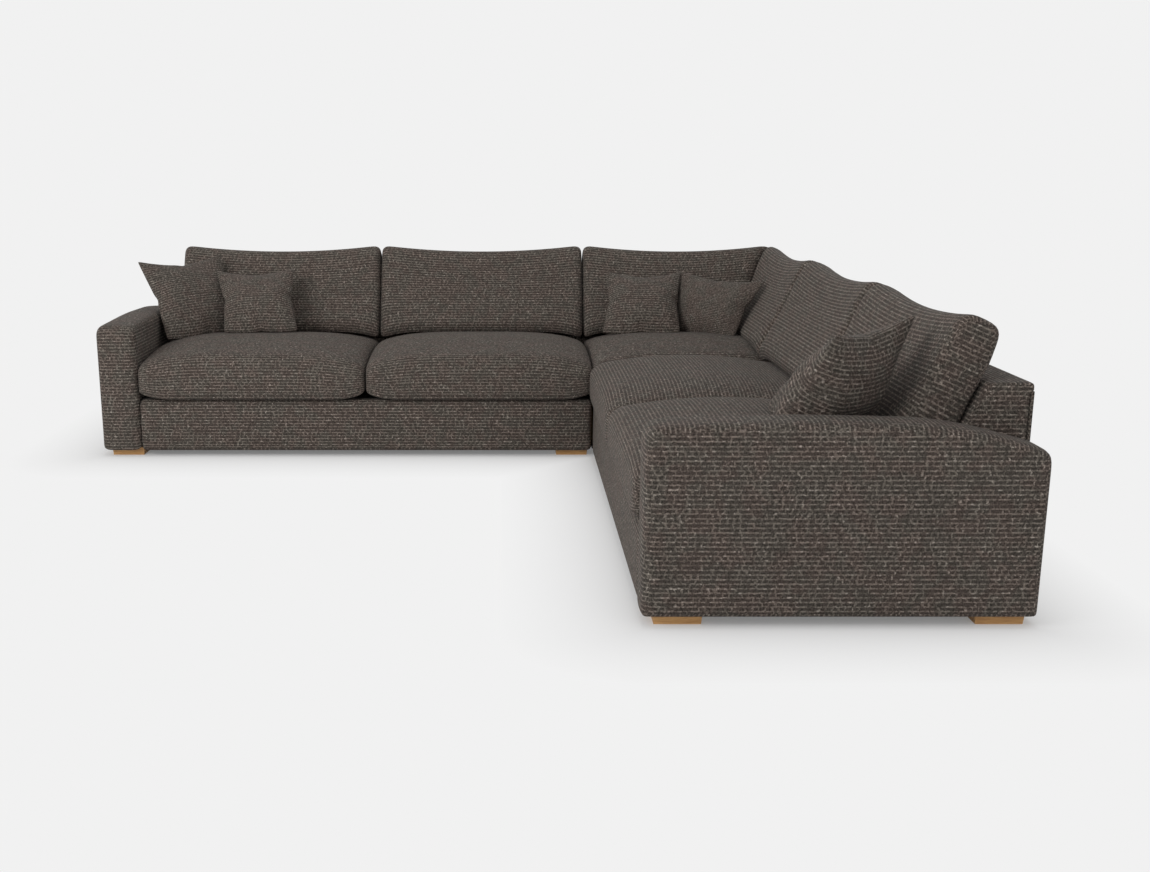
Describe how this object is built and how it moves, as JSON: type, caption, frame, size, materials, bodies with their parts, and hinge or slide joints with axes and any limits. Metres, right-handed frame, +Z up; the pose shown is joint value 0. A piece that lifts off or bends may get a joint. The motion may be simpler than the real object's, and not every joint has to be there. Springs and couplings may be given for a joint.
{
  "type": "corner sofa",
  "caption": "Modular corner sofa: equal runs with padded arms meet in a square corner seat, on low oak feet, with loose seat, back and scatter cushions.",
  "frame": {"origin": "on the floor, at the middle of the square that the sofa covers", "axes": "+X to the right along the rear run, +Y to the wall behind the rear run, +Z up; the side run lies along +X's edge and runs towards -Y"},
  "size_m": [3.24, 3.24, 0.8492],
  "materials": {
    "upholstery_fabric": "chunky basket weave of taupe and grey-beige yarn",
    "oak": "oiled oak",
    "timber": "planed softwood and birch plywood, unfinished",
    "seat_foam": "open-cell foam",
    "fibre": "blown fibre in an inner case",
    "webbing": "elastic webbing",
    "platform_cloth": "flat woven platform cloth over padding",
    "dust_cloth": "non-woven dust cloth",
    "steel": "zinc-plated steel"
  },
  "bodies": {
    "frame": {"left_arm_upholstery": "upholstery_fabric", "right_arm_upholstery": "upholstery_fabric", "left_front_border": "upholstery_fabric", "right_front_border": "upholstery_fabric", "left_back_upholstery": "upholstery_fabric", "corner_rear_back_upholstery": "upholstery_fabric", "corner_side_back_upholstery": "upholstery_fabric", "right_back_upholstery": "upholstery_fabric", "outside_back_panels": "upholstery_fabric", "arm_side_boards": "timber", "arm_posts": "timber", "arm_top_battens": "timber", "front_rails": "timber", "seat_back_rails": "timber", "outside_back_rails": "timber", "end_rails": "timber", "cross_rails": "timber", "corner_blocks": "timber", "back_gussets": "timber", "back_top_rails": "timber", "feet": "oak", "foot_bolts": "steel", "connector_hooks": "steel", "connector_sockets": "steel", "connector_screws": "steel", "seat_webbing": "webbing", "back_webbing": "webbing", "left_seat_platform": "platform_cloth", "corner_seat_platform": "platform_cloth", "right_seat_platform": "platform_cloth", "dust_covers": "dust_cloth"},
    "left_outer_seat_cushion": {"left_outer_seat_cushion_cover": "upholstery_fabric", "left_outer_seat_cushion_foam": "seat_foam"},
    "left_inner_seat_cushion": {"left_inner_seat_cushion_cover": "upholstery_fabric", "left_inner_seat_cushion_foam": "seat_foam"},
    "corner_seat_cushion": {"corner_seat_cushion_cover": "upholstery_fabric", "corner_seat_cushion_foam": "seat_foam"},
    "right_inner_seat_cushion": {"right_inner_seat_cushion_cover": "upholstery_fabric", "right_inner_seat_cushion_foam": "seat_foam"},
    "right_outer_seat_cushion": {"right_outer_seat_cushion_cover": "upholstery_fabric", "right_outer_seat_cushion_foam": "seat_foam"},
    "left_outer_back_cushion": {"left_outer_back_cushion_cover": "upholstery_fabric", "left_outer_back_cushion_fibre": "fibre"},
    "left_inner_back_cushion": {"left_inner_back_cushion_cover": "upholstery_fabric", "left_inner_back_cushion_fibre": "fibre"},
    "corner_rear_back_cushion": {"corner_rear_back_cushion_cover": "upholstery_fabric", "corner_rear_back_cushion_fibre": "fibre"},
    "corner_side_back_cushion": {"corner_side_back_cushion_cover": "upholstery_fabric", "corner_side_back_cushion_fibre": "fibre"},
    "right_inner_back_cushion": {"right_inner_back_cushion_cover": "upholstery_fabric", "right_inner_back_cushion_fibre": "fibre"},
    "right_outer_back_cushion": {"right_outer_back_cushion_cover": "upholstery_fabric", "right_outer_back_cushion_fibre": "fibre"},
    "left_large_scatter": {"left_large_scatter_cushion": "upholstery_fabric"},
    "left_small_scatter": {"left_small_scatter_cushion": "upholstery_fabric"},
    "corner_left_scatter": {"corner_left_scatter_cushion": "upholstery_fabric"},
    "corner_right_scatter": {"corner_right_scatter_cushion": "upholstery_fabric"},
    "right_small_scatter": {"right_small_scatter_cushion": "upholstery_fabric"},
    "right_large_scatter": {"right_large_scatter_cushion": "upholstery_fabric"}
  },
  "joints": [
    {"name": "left_outer_seat_cushion_lift", "type": "slide", "parent": "frame", "child": "left_outer_seat_cushion", "axis": [0, 0, 1], "range_m": [0, 0.6]},
    {"name": "left_inner_seat_cushion_lift", "type": "slide", "parent": "frame", "child": "left_inner_seat_cushion", "axis": [0, 0, 1], "range_m": [0, 0.6]},
    {"name": "corner_seat_cushion_lift", "type": "slide", "parent": "frame", "child": "corner_seat_cushion", "axis": [0, 0, 1], "range_m": [0, 0.6]},
    {"name": "right_inner_seat_cushion_lift", "type": "slide", "parent": "frame", "child": "right_inner_seat_cushion", "axis": [0, 0, 1], "range_m": [0, 0.6]},
    {"name": "right_outer_seat_cushion_lift", "type": "slide", "parent": "frame", "child": "right_outer_seat_cushion", "axis": [0, 0, 1], "range_m": [0, 0.6]},
    {"name": "left_outer_back_cushion_lift", "type": "slide", "parent": "left_outer_seat_cushion", "child": "left_outer_back_cushion", "axis": [0, 0.4226, 0.9063], "range_m": [0, 0.42]},
    {"name": "left_inner_back_cushion_lift", "type": "slide", "parent": "left_inner_seat_cushion", "child": "left_inner_back_cushion", "axis": [0, 0.4226, 0.9063], "range_m": [0, 0.42]},
    {"name": "corner_rear_back_cushion_lift", "type": "slide", "parent": "corner_seat_cushion", "child": "corner_rear_back_cushion", "axis": [0, 0.4226, 0.9063], "range_m": [0, 0.42]},
    {"name": "corner_side_back_cushion_lift", "type": "slide", "parent": "corner_seat_cushion", "child": "corner_side_back_cushion", "axis": [0.4226, 0, 0.9063], "range_m": [0, 0.42]},
    {"name": "right_inner_back_cushion_lift", "type": "slide", "parent": "right_inner_seat_cushion", "child": "right_inner_back_cushion", "axis": [0.4226, 0, 0.9063], "range_m": [0, 0.42]},
    {"name": "right_outer_back_cushion_lift", "type": "slide", "parent": "right_outer_seat_cushion", "child": "right_outer_back_cushion", "axis": [0.4226, 0, 0.9063], "range_m": [0, 0.42]},
    {"name": "left_large_scatter_lift", "type": "slide", "parent": "left_outer_back_cushion", "child": "left_large_scatter", "axis": [0, 0, 1], "range_m": [0, 0.45]},
    {"name": "left_small_scatter_lift", "type": "slide", "parent": "left_large_scatter", "child": "left_small_scatter", "axis": [0, -0.6, 0.8], "range_m": [0, 0.45]},
    {"name": "corner_left_scatter_lift", "type": "slide", "parent": "corner_rear_back_cushion", "child": "corner_left_scatter", "axis": [0, -0.6, 0.8], "range_m": [0, 0.45]},
    {"name": "corner_right_scatter_lift", "type": "slide", "parent": "corner_rear_back_cushion", "child": "corner_right_scatter", "axis": [0, -0.6, 0.8], "range_m": [0, 0.45]},
    {"name": "right_small_scatter_lift", "type": "slide", "parent": "right_large_scatter", "child": "right_small_scatter", "axis": [-0.6, 0, 0.8], "range_m": [0, 0.45]},
    {"name": "right_large_scatter_lift", "type": "slide", "parent": "right_outer_back_cushion", "child": "right_large_scatter", "axis": [0, 0, 1], "range_m": [0, 0.45]}
  ]
}
